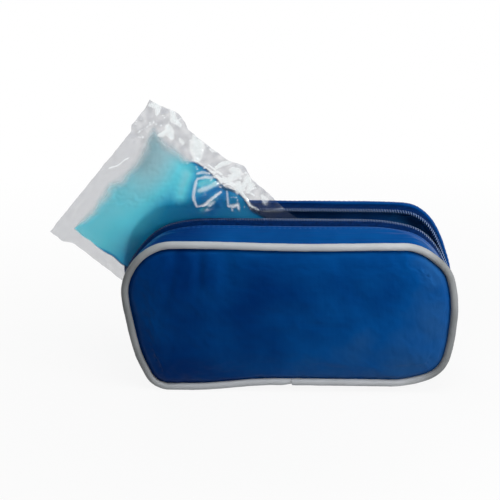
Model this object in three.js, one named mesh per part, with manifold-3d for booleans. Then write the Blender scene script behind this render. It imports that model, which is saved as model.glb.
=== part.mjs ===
// A small soft cooling case for insulin, standing open with a gel ice pack in it.
// Millimetres, +Z up, +X to the right of the front panel, -Y toward the viewer.
// The origin is the middle of the flat underside.
import * as THREE from "three";
import { mergeVertices } from "three/addons/utils/BufferGeometryUtils.js";
import Module from "manifold-3d";

const wasm = await Module();
wasm.setup();

// Driving sizes of the case.
const caseWidth = 200;
const caseHeight = 96;
const caseDepth = 54;
const pipingRadius = 2.2;
const panelCrown = 6;
const panelStandout = 1;
const foldHeight = caseHeight / 2;

// The outline's round corners, as shares of the case's width and height.
const topCornerWidthShare = 0.15;
const topCornerHeightShare = 0.35;
const bottomCornerWidthShare = 0.18;
const bottomCornerHeightShare = 0.394;
const topCornerPower = 2;
const bottomCornerPower = 2;
const cornerSteps = 8;
const pipingSides = 8;
const weldDistance = 0.0005;

// Layers of the padded wall, from the outside in.
const gap = 0.3;
const fabricThick = 0.8;
const tapeThick = 0.6;
const foamThick = 2.4;
const panelFoamThick = 3.2;
const seamFoamThick = 1.0;
const liningThick = 0.5;

// The zip and its mouth.
const mouthHalfGap = 6.5;
const mouthEndHalfGap = 1.2;
const openingRun = 44;
const frontRise = 10.9;
const backRise = 12.8;
const sideBulge = 2.5;
const seamBulge = 0.4;
const tapeShown = 6.5;
const coilWidth = 1.6;
const tapeClear = 0.2;
const coilThick = 1.8;
const toothDepth = 0.8;
const toothPitch = 4;
const chainHalfWidth = 2.6;
const tapeSlotHalf = 2.9;
const sliderLength = 7;
const slideTravel = 4.5;
const postLength = 1.6;
const postHalfWidth = 0.7;
const stopLength = 1.2;
const stopPlaceShare = 0.06;
const topStopStretchShare = 1.4;
const tabLength = 6;
const tabHalfWidth = 9;
const closedRibShare = 0.7;

// Slider and pull tab.
const sliderHalfWidth = 4.5;
const plateThick = 1.1;
const rimThick = 0.8;
const sliderWaistShare = 0.55;
const sliderTailShare = 0.86;
const sliderCornerCut = 0.6;
const outerClear = 0.4;
const innerClear = 0.9;
const pinRadius = 0.4;
const pinSides = 10;
const pinPlaceShare = 0.4;
const eyeRadius = 1.0;
const eyeSides = 12;
const eyeHoleRadius = 0.7;
const eyeHalfWidth = 1.2;
const lugThick = 0.8;
const pullLength = 22;
const pullWidth = 7;
const pullThick = 1.4;
const pullNeckShare = 0.18;
const pullShoulderShare = 0.34;
const pullTipShare = 0.9;
const pullTipWidthShare = 0.6;
const gripStartShare = 0.5;
const gripEndShare = 0.84;
const gripWidthShare = 0.45;

// The gel ice pack.
const packWidth = 104;
const packLength = 145;
const packTilt = THREE.MathUtils.degToRad(39);
const packFootX = -35.4;
const packHalfThick = 4.9;
const packRim = 8;
const packCornerRadius = 6;
const packShoulder = 28;
const gelInset = 14;
const gelSlope = 11;
const filmThick = 0.3;
const filmHalfGap = 0.15;

// The seam line, which is the centre line of the piping.
const seamHalfWidth = caseWidth / 2 - pipingRadius;
const seamBottom = sideBulge;
const seamTop = caseHeight - pipingRadius;
const topCornerX = topCornerWidthShare * caseWidth;
const topCornerZ = topCornerHeightShare * caseHeight;
const bottomCornerX = bottomCornerWidthShare * caseWidth;
const bottomCornerZ = bottomCornerHeightShare * caseHeight;
const seamY = caseDepth / 2;
const stripEdgeY = seamY - pipingRadius - gap;
const panelInset = pipingRadius + gap;
const panelEdgeY = seamY + panelStandout;

// Depths of the layers below the outer face of the side band.
const tapeDepth = fabricThick + gap;
const foamDepth = tapeDepth + tapeThick + gap;
const liningDepth = foamDepth + foamThick + gap;

// Shares of the rise at each row of a strip, from the seam to the lip.
const rowShares = [0, 0.2, 0.44, 0.7, 1];
const lipRows = [2 * coilWidth, coilWidth + tapeClear, 0];
const flatShares = [seamBulge / sideBulge, 0.76, 1, 1, 1, 1, 1, 1];
const frontShares = [0.04, 0.24, 0.45, 0.61, 0.74, 0.91, 0.96, 1];
const backShares = [0.03, 0.56, 0.87, 1, 1, 0.93, 0.89, 0.83];

function smooth(value) {
  const t = Math.min(1, Math.max(0, value));
  return t * t * (3 - 2 * t);
}

function mix(a, b, t) {
  return a + (b - a) * t;
}

// Merges shared vertices, drops empty triangles and turns the faces outward.
function weld(source) {
  source.deleteAttribute("normal");
  source.deleteAttribute("uv");
  const merged = mergeVertices(source, weldDistance);
  const spots = merged.attributes.position.array;
  const index = merged.index.array;
  const kept = [];
  let volume = 0;
  const [a, b, c] = [new THREE.Vector3(), new THREE.Vector3(), new THREE.Vector3()];
  for (let t = 0; t < index.length; t += 3) {
    const [i, j, k] = [index[t], index[t + 1], index[t + 2]];
    if (i === j || j === k || k === i) continue;
    kept.push(i, j, k);
    a.fromArray(spots, 3 * i);
    b.fromArray(spots, 3 * j);
    c.fromArray(spots, 3 * k);
    volume += a.dot(b.cross(c));
  }
  if (volume < 0) {
    for (let t = 0; t < kept.length; t += 3) {
      [kept[t], kept[t + 1]] = [kept[t + 1], kept[t]];
    }
  }
  const welded = new THREE.BufferGeometry();
  welded.setAttribute("position", new THREE.BufferAttribute(new Float32Array(spots), 3));
  welded.setIndex(kept);
  return welded;
}

// A thin block with a grid of columns and rows, where place(i, j, k) gives each point.
// Both faces split their cells along the same diagonal, so stacked layers stay parallel.
function bentBox(columns, rows, place) {
  const spots = [];
  for (let k = 0; k <= 1; k++) {
    for (let j = 0; j <= rows; j++) {
      for (let i = 0; i <= columns; i++) spots.push(...place(i, j, k));
    }
  }
  const at = (i, j, k) => i + (columns + 1) * (j + (rows + 1) * k);
  const index = [];
  const wall = (i0, j0, i1, j1) => {
    index.push(at(i0, j0, 0), at(i0, j0, 1), at(i1, j1, 1));
    index.push(at(i0, j0, 0), at(i1, j1, 1), at(i1, j1, 0));
  };
  for (let j = 0; j < rows; j++) {
    for (let i = 0; i < columns; i++) {
      for (let k = 0; k <= 1; k++) {
        const corners = [at(i, j, k), at(i + 1, j, k), at(i + 1, j + 1, k), at(i, j + 1, k)];
        if (2 * i >= columns) corners.push(corners.shift());
        const [a, b, c, d] = k === 0 ? corners : [corners[0], corners[3], corners[2], corners[1]];
        index.push(a, b, c, a, c, d);
      }
    }
  }
  for (let i = 0; i < columns; i++) {
    wall(i, 0, i + 1, 0);
    wall(i + 1, rows, i, rows);
  }
  for (let j = 0; j < rows; j++) {
    wall(0, j + 1, 0, j);
    wall(columns, j, columns, j + 1);
  }
  const geometry = new THREE.BufferGeometry();
  geometry.setAttribute("position", new THREE.Float32BufferAttribute(spots, 3));
  geometry.setIndex(index);
  return weld(geometry);
}

// A round rod bent along a path.
function bentRod(path, y, radius, sides) {
  const steps = path.length - 1;
  const rod = new THREE.CylinderGeometry(radius, radius, steps, sides, steps);
  const spots = rod.attributes.position;
  for (let v = 0; v < spots.count; v++) {
    const at = path[Math.round(spots.getY(v) + steps / 2)];
    const off = spots.getX(v);
    const side = spots.getZ(v);
    spots.setXYZ(v, at.x + at.nx * off, y + side, at.z + at.nz * off);
  }
  return weld(rod);
}

function toSolid(geometry) {
  const welded = weld(geometry.clone());
  return new wasm.Manifold(new wasm.Mesh({
    numProp: 3,
    vertProperties: welded.attributes.position.array,
    triVerts: new Uint32Array(welded.index.array),
  }));
}

function fromSolid(solid) {
  const out = solid.getMesh();
  const geometry = new THREE.BufferGeometry();
  geometry.setAttribute("position", new THREE.BufferAttribute(new Float32Array(out.vertProperties), 3));
  geometry.setIndex(new THREE.BufferAttribute(new Uint32Array(out.triVerts), 1));
  return geometry;
}

function cut(base, tools) {
  return fromSolid(tools.reduce((solid, tool) => solid.subtract(toSolid(tool)), toSolid(base)));
}

function join(pieces) {
  const [first, ...others] = pieces.map(toSolid);
  return fromSolid(others.reduce((solid, other) => solid.add(other), first));
}

// A box between two opposite corners.
function block(from, to) {
  const box = new THREE.BoxGeometry(to[0] - from[0], to[1] - from[1], to[2] - from[2]);
  return box.translate((from[0] + to[0]) / 2, (from[1] + to[1]) / 2, (from[2] + to[2]) / 2);
}

// The outline: points of the seam line with their outward directions.
function spot(x, z, nx, nz) {
  const size = Math.hypot(nx, nz);
  return { x, z, nx: nx / size, nz: nz / size };
}

function cornerSpots(reachX, reachZ, startZ, power, up) {
  const spots = [];
  for (let step = 0; step <= cornerSteps; step++) {
    const angle = (step / cornerSteps) * Math.PI / 2;
    const shareX = Math.max(0, Math.cos(angle)) ** (2 / power);
    const shareZ = Math.sin(angle) ** (2 / power);
    const x = seamHalfWidth - reachX + reachX * shareX;
    const z = startZ + up * reachZ * shareZ;
    const nx = shareX ** (power - 1) / reachX;
    const nz = shareZ ** (power - 1) / reachZ;
    spots.push(spot(x, z, step === cornerSteps ? 0 : nx, up * nz));
  }
  return spots;
}

// Adds the mirrored left half and the distance from the nearer end to each point.
function wholePath(half, flatStopShares) {
  const last = half[half.length - 1];
  const middle = flatStopShares.map((share) => spot(last.x * share, last.z, 0, last.nz));
  const left = half.map((p) => ({ ...p, x: -p.x, nx: -p.nx })).reverse();
  const path = [...half, ...middle, ...left];
  let run = 0;
  path.forEach((p, i) => {
    if (i > 0) run += Math.hypot(p.x - path[i - 1].x, p.z - path[i - 1].z);
    p.run = run;
  });
  path.forEach((p) => {
    p.fromEnd = Math.min(p.run, run - p.run);
  });
  return path;
}

const archStartZ = foldHeight + gap / 2;
const cradleStartZ = foldHeight - gap / 2;
const topCornerStart = seamTop - topCornerZ;
const bottomCornerStart = seamBottom + bottomCornerZ;
const topShares = [0.6, 0.2, -0.2, -0.6];
const bottomShares = [0.33, -0.33];
const arch = wholePath([
  spot(seamHalfWidth, archStartZ, 1, 0),
  spot(seamHalfWidth, (archStartZ + topCornerStart) / 2, 1, 0),
  ...cornerSpots(topCornerX, topCornerZ, topCornerStart, topCornerPower, 1),
], topShares);
const cradle = wholePath([
  spot(seamHalfWidth, cradleStartZ, 1, 0),
  ...cornerSpots(bottomCornerX, bottomCornerZ, bottomCornerStart, bottomCornerPower, -1),
], bottomShares);

// A point of a path at a distance along it, on the straight line between its neighbours.
function along(path, distance) {
  let i = 1;
  while (i < path.length - 1 && path[i].run < distance) i++;
  const [a, b] = [path[i - 1], path[i]];
  const t = (distance - a.run) / (b.run - a.run);
  return spot(mix(a.x, b.x, t), mix(a.z, b.z, t), mix(a.nx, b.nx, t), mix(a.nz, b.nz, t));
}

// A point of the side band: off is the distance outward from the seam line.
function bandPoint(at, y, off) {
  return [at.x + at.nx * off, y, at.z + at.nz * off];
}

// The rows of a strip at one place: distance from the middle plane, and outward offset.
function stripRows(fromEnd, shares, rise) {
  const open = smooth(fromEnd / openingRun);
  const lip = mix(mouthEndHalfGap, mouthHalfGap, open);
  const fabricEdge = lip + tapeShown;
  const ys = [
    ...rowShares.map((share) => mix(stripEdgeY, fabricEdge, share)),
    ...lipRows.map((distance) => lip + distance),
  ];
  const rows = ys.map((y, r) => {
    const off = mix(flatShares[r] * sideBulge, shares[r] * rise, open);
    return { y, off };
  });
  // Outward direction of each row, the average of its two neighbouring pieces.
  const directions = rows.slice(1).map((row, r) => {
    const [dy, dn] = [row.y - rows[r].y, row.off - rows[r].off];
    const size = Math.hypot(dy, dn);
    return [dn / size, -dy / size];
  });
  rows.forEach((row, r) => {
    const before = directions[Math.max(0, r - 1)];
    const after = directions[Math.min(directions.length - 1, r)];
    const sum = [before[0] + after[0], before[1] + after[1]];
    const size = Math.hypot(sum[0], sum[1]);
    row.dy = sum[0] / size;
    row.dn = sum[1] / size;
  });
  return rows;
}

function rowPoint(at, row, depth, side) {
  return bandPoint(at, side * (row.y - depth * row.dy), row.off - depth * row.dn);
}

const archRows = {
  [-1]: arch.map((at) => stripRows(at.fromEnd, frontShares, frontRise)),
  [1]: arch.map((at) => stripRows(at.fromEnd, backShares, backRise)),
};

// One layer of an upper strip, between two rows and two depths.
function strip(side, firstRow, lastRow, depthAt, thick) {
  return bentBox(arch.length - 1, lastRow - firstRow, (i, j, k) => {
    const r = firstRow + j;
    return rowPoint(arch[i], archRows[side][i][r], depthAt(r) + k * thick, side);
  });
}

// One layer of the lower side band, right round the bottom.
const foldRows = stripRows(0, backShares, backRise);
const flatRow = { y: 0, off: sideBulge, dy: 0, dn: 1 };
const bandRows = [
  ...foldRows.slice(0, 3).map((row) => ({ row, side: -1 })),
  { row: flatRow, side: 1 },
  ...foldRows.slice(0, 3).reverse().map((row) => ({ row, side: 1 })),
];
const slotHalf = mouthEndHalfGap + tapeShown;
const rowEnd = postLength + slideTravel;
const chainStart = rowEnd + gap;
const chainEnd = sliderLength + slideTravel;
const stopStart = chainEnd + gap;
const stopEnd = stopStart + stopLength;
const tabStart = stopEnd + gap;
const slotEnd = tabStart + 2 * gap;
const tabEnd = tabStart + tabLength;
const slotEndZ = along(cradle, slotEnd).z;

function slotTools(halfWidth, bottomZ) {
  const [near, far] = [seamHalfWidth / 2, caseWidth];
  return [
    block([near, -halfWidth, bottomZ], [far, halfWidth, caseHeight]),
    block([-far, -halfWidth, bottomZ], [-near, halfWidth, caseHeight]),
  ];
}

function band(depth, thick) {
  const whole = bentBox(cradle.length - 1, bandRows.length - 1, (i, j, k) => {
    const { row, side } = bandRows[j];
    return rowPoint(cradle[i], row, depth + k * thick, side);
  });
  return cut(whole, slotTools(slotHalf, slotEndZ));
}

// One layer of a panel: rings that shrink toward the middle of the fold line.
const ringInset = 8;
const ringShares = [0, 1, 0.6, 0];
const crownShares = [0, 0.45, 0.9, 1];
const foamShares = [0, 0.75, 1, 1];

function panelRing(at, ring, centreZ) {
  if (ring === 0) return [at.x - at.nx * panelInset, at.z - at.nz * panelInset];
  const x = at.x - at.nx * ringInset;
  const z = at.z - at.nz * ringInset;
  const scale = ringShares[ring];
  return [x * scale, centreZ + (z - centreZ) * scale];
}

function panelDepth(ring, layer, face) {
  const foam = mix(seamFoamThick, panelFoamThick, foamShares[ring]);
  const starts = { fabric: 0, foam: fabricThick + gap, lining: fabricThick + foam + 2 * gap };
  const thicks = { fabric: fabricThick, foam, lining: liningThick };
  return starts[layer] + face * thicks[layer];
}

function panel(path, centreZ, side, layer) {
  return bentBox(path.length - 1, crownShares.length - 1, (i, j, k) => {
    const [x, z] = panelRing(path[i], j, centreZ);
    const y = panelEdgeY + panelCrown * crownShares[j] - panelDepth(j, layer, k);
    return [x, side * y, z];
  });
}

// A row of coil teeth: its lip edge steps in and out along the path.
function coilCorners(at, rows, side) {
  const lip = rows[rows.length - 1];
  const tape = rows[rows.length - 2];
  const share = coilWidth / (tape.y - lip.y);
  const far = { ...lip, y: mix(lip.y, tape.y, share), off: mix(lip.off, tape.off, share) };
  const middle = tapeDepth + tapeThick / 2;
  const depths = [middle - coilThick / 2, middle + coilThick / 2];
  return [far, lip].map((row) => depths.map((depth) => rowPoint(at, row, depth, side)));
}

function coilSteps(path) {
  const steps = [];
  for (let i = 1; i < path.length; i++) {
    const length = path[i].run - path[i - 1].run;
    const count = Math.max(1, Math.round(length / (toothPitch / 2)));
    for (let step = 0; step < count; step++) steps.push({ i, t: step / count });
  }
  steps.push({ i: path.length - 1, t: 1 });
  return steps;
}

function coil(path, rowsOf, side) {
  const corners = path.map((at, i) => coilCorners(at, rowsOf(i), side));
  const steps = coilSteps(path);
  return bentBox(1, steps.length - 1, (i, j, k) => {
    const step = steps[j];
    const far = [corners[step.i - 1][0][k], corners[step.i][0][k]];
    const lip = [corners[step.i - 1][1][k], corners[step.i][1][k]];
    const inward = i === 1 && j % 2 === 1 ? toothDepth / coilWidth : 0;
    const farAt = far[0].map((value, axis) => mix(value, far[1][axis], step.t));
    const lipAt = lip[0].map((value, axis) => mix(value, lip[1][axis], step.t));
    if (i === 0) return farAt;
    return lipAt.map((value, axis) => mix(value, farAt[axis], inward));
  });
}

// Part of the cradle path between two distances from its right end, or mirrored to the left.
function piece(from, to, side, step) {
  const count = Math.max(1, Math.round((to - from) / step));
  const spots = [];
  for (let i = 0; i <= count; i++) {
    const at = along(cradle, mix(from, to, i / count));
    const run = mix(from, to, i / count);
    spots.push({ ...at, x: side * at.x, nx: side * at.nx, run });
  }
  return spots;
}

function coilEnd(side, from, to, half) {
  const steps = piece(from, to, side, toothPitch / 2);
  const middle = sideBulge - tapeDepth - tapeThick / 2;
  return bentBox(1, steps.length - 1, (i, j, k) => {
    const inward = j % 2 === 1 ? toothDepth : 0;
    const y = i === 0 ? chainHalfWidth : chainHalfWidth - coilWidth + inward;
    return bandPoint(steps[j], half * y, middle + (k - 0.5) * coilThick);
  });
}

// The closed chain at the right end: ribbed where the teeth of both rows lock.
function closedChain() {
  const steps = piece(chainStart, chainEnd, 1, toothPitch / 4);
  const middle = sideBulge - tapeDepth - tapeThick / 2;
  return bentBox(2, steps.length - 1, (i, j, k) => {
    const rib = j % 2 === 1 ? coilThick : coilThick * closedRibShare;
    return bandPoint(steps[j], (i - 1) * chainHalfWidth, middle + (k - 0.5) * rib);
  });
}

function tapeEnd(side) {
  const steps = cradle.slice(0, 4);
  const edgeY = foldRows[3].y;
  const whole = bentBox(steps.length - 1, 1, (i, j, k) => {
    const at = { ...steps[i], x: side * steps[i].x, nx: side * steps[i].nx };
    return bandPoint(at, mix(-edgeY, edgeY, j), sideBulge - tapeDepth - k * tapeThick);
  });
  return cut(whole, slotTools(tapeSlotHalf, along(cradle, stopEnd + 2 * gap).z));
}

// A flat piece that lies on the side band between two distances from the fold.
function bandBlock(side, from, to, halfWidth, outerOff, thick) {
  const steps = piece(from, to, side, to - from);
  return bentBox(1, 1, (i, j, k) => {
    return bandPoint(steps[i], mix(-halfWidth, halfWidth, j), outerOff - k * thick);
  });
}

// The two small stops at the left end of the open teeth.
function topStop(side) {
  const [a, b] = [arch[arch.length - 1], arch[arch.length - 2]];
  const rowsA = archRows[side][arch.length - 1];
  const rowsB = archRows[side][arch.length - 2];
  const stretch = stopLength * topStopStretchShare / Math.abs(a.z - b.z);
  const [t0, t1] = [stopPlaceShare, stopPlaceShare + stretch];
  const middle = tapeDepth + tapeThick / 2;
  const last = rowsA.length - 1;
  return bentBox(1, 1, (i, j, k) => {
    const t = i === 0 ? t0 : t1;
    const at = spot(mix(a.x, b.x, t), mix(a.z, b.z, t), mix(a.nx, b.nx, t), mix(a.nz, b.nz, t));
    const lipY = mix(rowsA[last].y, rowsB[last].y, t);
    const lipOff = mix(rowsA[last].off, rowsB[last].off, t);
    const y = lipY + j * coilWidth;
    const outer = lipOff - middle + coilThick / 2 + gap;
    return bandPoint(at, side * y, outer + stopLength - k * stopLength);
  });
}

// The slider: two plates joined by a post, with rims and two lugs that hold a pin.
const coilMiddleX = seamHalfWidth + sideBulge - tapeDepth - tapeThick / 2;
const outerPlateX = coilMiddleX + coilThick / 2 + outerClear;
const innerPlateX = coilMiddleX - coilThick / 2 - innerClear;
const sliderTop = cradleStartZ;
const pinX = outerPlateX + plateThick + eyeRadius + gap;
const pinZ = sliderTop - sliderLength * pinPlaceShare;
const tapeHalf = tapeThick / 2;

// Turns a shape drawn in (y, z) into a plate that stands across the x axis.
function standingPlate(shape, fromX, thick, z) {
  const plate = new THREE.ExtrudeGeometry(shape, { depth: thick, bevelEnabled: false });
  plate.rotateX(Math.PI / 2);
  plate.rotateZ(Math.PI / 2);
  return plate.translate(fromX, 0, z);
}

// One side of the slider seen from outside: wide where the open rows enter, narrower at the tail.
const waistZ = -sliderLength * sliderWaistShare;
const tailHalfWidth = sliderHalfWidth * sliderTailShare;
const outerSide = [
  [tailHalfWidth - sliderCornerCut, -sliderLength],
  [tailHalfWidth, sliderCornerCut - sliderLength],
  [sliderHalfWidth, waistZ],
  [sliderHalfWidth, -sliderCornerCut],
  [sliderHalfWidth - sliderCornerCut, 0],
];
const innerSide = [
  [tailHalfWidth - rimThick, -sliderLength],
  [sliderHalfWidth - rimThick, waistZ],
  [sliderHalfWidth - rimThick, 0],
];

function corners(line, side) {
  return line.map(([y, z]) => new THREE.Vector2(side * y, z));
}

function sliderPlate(fromX, thick) {
  const shape = new THREE.Shape([...corners(outerSide, 1), ...corners(outerSide, -1).reverse()]);
  return standingPlate(shape, fromX, thick, sliderTop);
}

function sliderRim(side, fromX, thick) {
  const shape = new THREE.Shape([...corners(outerSide, side), ...corners(innerSide, side).reverse()]);
  return standingPlate(shape, fromX, thick, sliderTop);
}

function sliderBody() {
  const outerRimX = coilMiddleX + tapeHalf + gap;
  const innerRimX = coilMiddleX - tapeHalf - innerClear;
  const lugZ = [pinZ - eyeRadius - gap, pinZ + eyeRadius + gap];
  const lugX = [outerPlateX, pinX + eyeRadius];
  const lugY = [eyeHalfWidth + gap, eyeHalfWidth + gap + lugThick];
  const pieces = [
    sliderPlate(outerPlateX, plateThick),
    sliderPlate(innerPlateX - plateThick, plateThick),
    block(
      [innerPlateX - gap, -postHalfWidth, sliderTop - postLength],
      [outerPlateX + gap, postHalfWidth, sliderTop],
    ),
  ];
  for (const side of [-1, 1]) {
    const [lugA, lugB] = [side * lugY[0], side * lugY[1]].sort((p, q) => p - q);
    pieces.push(sliderRim(side, outerRimX, outerPlateX + gap - outerRimX));
    pieces.push(sliderRim(side, innerPlateX - gap, innerRimX - innerPlateX + gap));
    pieces.push(block([lugX[0], lugA, lugZ[0]], [lugX[1], lugB, lugZ[1]]));
  }
  const pin = new THREE.CylinderGeometry(pinRadius, pinRadius, 2 * lugY[1] - lugThick, pinSides);
  pieces.push(pin.translate(pinX, 0, pinZ));
  return join(pieces);
}

function pullTab() {
  const neck = eyeHalfWidth;
  const neckTop = (eyeHoleRadius + eyeRadius) / 2;
  const half = pullWidth / 2;
  const shape = new THREE.Shape();
  shape.moveTo(-neck, -neckTop);
  shape.lineTo(-neck, -pullLength * pullNeckShare);
  shape.lineTo(-half, -pullLength * pullShoulderShare);
  shape.lineTo(-half, -pullLength * pullTipShare);
  shape.lineTo(-half * pullTipWidthShare, -pullLength);
  shape.lineTo(half * pullTipWidthShare, -pullLength);
  shape.lineTo(half, -pullLength * pullTipShare);
  shape.lineTo(half, -pullLength * pullShoulderShare);
  shape.lineTo(neck, -pullLength * pullNeckShare);
  shape.lineTo(neck, -neckTop);
  const hole = new THREE.Path();
  const grip = half * gripWidthShare;
  hole.moveTo(-grip, -pullLength * gripStartShare);
  hole.lineTo(grip, -pullLength * gripStartShare);
  hole.lineTo(grip, -pullLength * gripEndShare);
  hole.lineTo(-grip, -pullLength * gripEndShare);
  shape.holes.push(hole);
  const plate = standingPlate(shape, pinX - pullThick / 2, pullThick, pinZ);
  const eye = new THREE.CylinderGeometry(eyeRadius, eyeRadius, 2 * eyeHalfWidth, eyeSides);
  const bore = new THREE.CylinderGeometry(eyeHoleRadius, eyeHoleRadius, 4 * eyeHalfWidth, eyeSides);
  eye.translate(pinX, 0, pinZ);
  bore.translate(pinX, 0, pinZ);
  return cut(join([plate, eye]), [bore]);
}

// The gel ice pack: two films and the gel between them, in the plane y = 0.
const packAcross = { x: Math.sin(packTilt), z: Math.cos(packTilt) };
const packDown = { x: Math.cos(packTilt), z: -Math.sin(packTilt) };
const cornerCut = packCornerRadius * (1 - Math.SQRT1_2);
const footRise = cornerCut * (packAcross.z - packDown.z);
const packFootZ = liningDepth + liningThick + gap - footRise;
const packStart = {
  x: packFootX - packLength * packDown.x,
  z: packFootZ - packLength * packDown.z,
};
const middleShares = [0.333, 0.5, 0.667];

function gridStops(size) {
  const near = [0, packCornerRadius, gelInset, gelInset + gelSlope];
  const far = near.map((value) => size - value).reverse();
  return [...near, ...middleShares.map((share) => size * share), ...far];
}

const packColumns = gridStops(packWidth);
const packRows = gridStops(packLength);

function pillow(across, down) {
  const fromSide = Math.min(across, packWidth - across);
  const fromEnd = Math.min(down, packLength - down);
  return smooth((fromSide - packRim) / packShoulder) * smooth((fromEnd - packRim) / packShoulder);
}

function packPoint(across, down, y) {
  return [
    packStart.x + across * packAcross.x + down * packDown.x,
    y,
    packStart.z + across * packAcross.z + down * packDown.z,
  ];
}

function film(side) {
  const [lastColumn, lastRow] = [packColumns.length - 1, packRows.length - 1];
  return bentBox(lastColumn, lastRow, (i, j, k) => {
    let [across, down] = [packColumns[i], packRows[j]];
    const thick = filmHalfGap + (packHalfThick - filmHalfGap) * pillow(across, down);
    const atCorner = (i === 0 || i === lastColumn) && (j === 0 || j === lastRow);
    if (atCorner) {
      across += i === 0 ? cornerCut : -cornerCut;
      down += j === 0 ? cornerCut : -cornerCut;
    }
    return packPoint(across, down, side * (thick + k * filmThick));
  });
}

function gel() {
  const columns = packColumns.filter((at) => at >= gelInset && at <= packWidth - gelInset);
  const rows = packRows.filter((at) => at >= gelInset && at <= packLength - gelInset);
  return bentBox(columns.length - 1, rows.length - 1, (i, j, k) => {
    const [across, down] = [columns[i], rows[j]];
    const thick = filmHalfGap + (packHalfThick - filmHalfGap) * pillow(across, down) - gap;
    return packPoint(across, down, (2 * k - 1) * Math.max(thick, gap / 2));
  });
}

// Looks.
function matte(colour, roughness, metalness = 0) {
  return new THREE.MeshStandardMaterial({ color: colour, roughness, metalness });
}

const navy = () => matte(0x0b2a5c, 0.28);
const lining = () => matte(0x1a4f9c, 0.45);
const foam = () => matte(0xc9ced6, 0.9);
const grey = () => matte(0xa3a6ad, 0.55);
const tapeBlue = () => matte(0x101c3f, 0.8);
const coilBlue = () => matte(0x5a6390, 0.45);
const metal = () => matte(0x20242c, 0.4, 0.6);
const clearFilm = () => {
  const look = matte(0xdfe6ea, 0.15);
  look.transparent = true;
  look.opacity = 0.35;
  return look;
};
const gelBlue = () => matte(0x3fa3bd, 0.3);

const insulinCase = new THREE.Group();

function add(name, geometry, material) {
  geometry.computeVertexNormals();
  const mesh = new THREE.Mesh(geometry, material);
  mesh.name = name;
  insulinCase.add(mesh);
}

const sides = { front: -1, back: 1 };
const layerLooks = { fabric: navy, foam, lining };

for (const [where, side] of Object.entries(sides)) {
  for (const [layer, look] of Object.entries(layerLooks)) {
    add(`${where}_${layer}_lower`, panel(cradle, cradleStartZ, side, layer), look());
    add(`${where}_${layer}_upper`, panel(arch, archStartZ, side, layer), look());
  }
  add(`${where}_piping_lower`, bentRod(cradle, side * seamY, pipingRadius, pipingSides), grey());
  add(`${where}_piping_upper`, bentRod(arch, side * seamY, pipingRadius, pipingSides), grey());
  add(`${where}_strip_fabric`, strip(side, 0, 4, () => 0, fabricThick), navy());
  add(`${where}_strip_foam`, strip(side, 0, 4, () => foamDepth, foamThick), foam());
  const tuck = (r) => (r > 4 ? foamDepth : liningDepth);
  add(`${where}_strip_lining`, strip(side, 0, 6, tuck, liningThick), lining());
  add(`${where}_zip_tape`, strip(side, 3, 6, () => tapeDepth, tapeThick), tapeBlue());
  add(`${where}_zip_teeth`, coil(arch, (i) => archRows[side][i], side), coilBlue());
  add(`${where}_top_stop`, topStop(side), metal());
  add(`left_end_teeth_${where}`, coilEnd(-1, 0, stopEnd, side), coilBlue());
  add(`right_end_teeth_${where}`, coilEnd(1, 0, rowEnd, side), coilBlue());
}

add("side_band_fabric", band(0, fabricThick), navy());
add("side_band_foam", band(foamDepth, foamThick), foam());
add("side_band_lining", band(liningDepth, liningThick), lining());

for (const [where, side] of Object.entries({ left: -1, right: 1 })) {
  add(`${where}_tape_end`, tapeEnd(side), tapeBlue());
  const tabOff = sideBulge + gap + fabricThick;
  add(`${where}_end_tab`, bandBlock(side, tabStart, tabEnd, tabHalfWidth, tabOff, fabricThick), navy());
}

add("closed_teeth", closedChain(), coilBlue());
const stopOff = sideBulge - gap;
add("bottom_stop", bandBlock(1, stopStart, stopEnd, chainHalfWidth, stopOff, coilThick), metal());
add("slider_body", sliderBody(), metal());
add("pull_tab", pullTab(), metal());
add("pack_film_front", film(-1), clearFilm());
add("pack_film_back", film(1), clearFilm());
add("pack_gel", gel(), gelBlue());

export default insulinCase;
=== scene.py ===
"""Looks of a small soft insulin cooling case that stands open with a gel ice pack in its mouth.

Lengths are in millimetres until solid() turns them into Blender's metres; those of the stage are in
metres. A surface is a numpy array of points, +X to the right of the front panel, -Y toward the viewer
and +Z up.
"""

import functools
import math

import bmesh
import bpy
import numpy as np
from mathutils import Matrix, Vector, noise


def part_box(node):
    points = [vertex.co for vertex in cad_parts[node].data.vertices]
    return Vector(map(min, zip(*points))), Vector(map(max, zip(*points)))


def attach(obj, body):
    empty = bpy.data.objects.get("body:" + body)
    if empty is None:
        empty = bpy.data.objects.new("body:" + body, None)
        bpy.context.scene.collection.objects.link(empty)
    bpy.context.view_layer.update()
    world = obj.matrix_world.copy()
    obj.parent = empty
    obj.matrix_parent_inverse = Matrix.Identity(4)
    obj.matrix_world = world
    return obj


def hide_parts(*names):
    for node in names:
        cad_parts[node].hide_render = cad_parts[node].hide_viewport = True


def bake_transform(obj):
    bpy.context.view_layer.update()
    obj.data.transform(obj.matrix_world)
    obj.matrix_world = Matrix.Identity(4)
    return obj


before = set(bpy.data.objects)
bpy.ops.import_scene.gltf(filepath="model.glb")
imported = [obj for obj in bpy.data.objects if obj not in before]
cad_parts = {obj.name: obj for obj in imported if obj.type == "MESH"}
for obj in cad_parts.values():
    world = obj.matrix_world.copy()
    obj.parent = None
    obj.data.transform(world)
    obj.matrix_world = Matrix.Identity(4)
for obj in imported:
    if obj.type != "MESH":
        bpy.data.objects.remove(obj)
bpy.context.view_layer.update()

MM = 0.001
weld_distance = 1e-6


def box_of(name):
    """The low and the high corner of a node, in millimetres."""
    return np.array(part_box(name)) / MM


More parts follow.
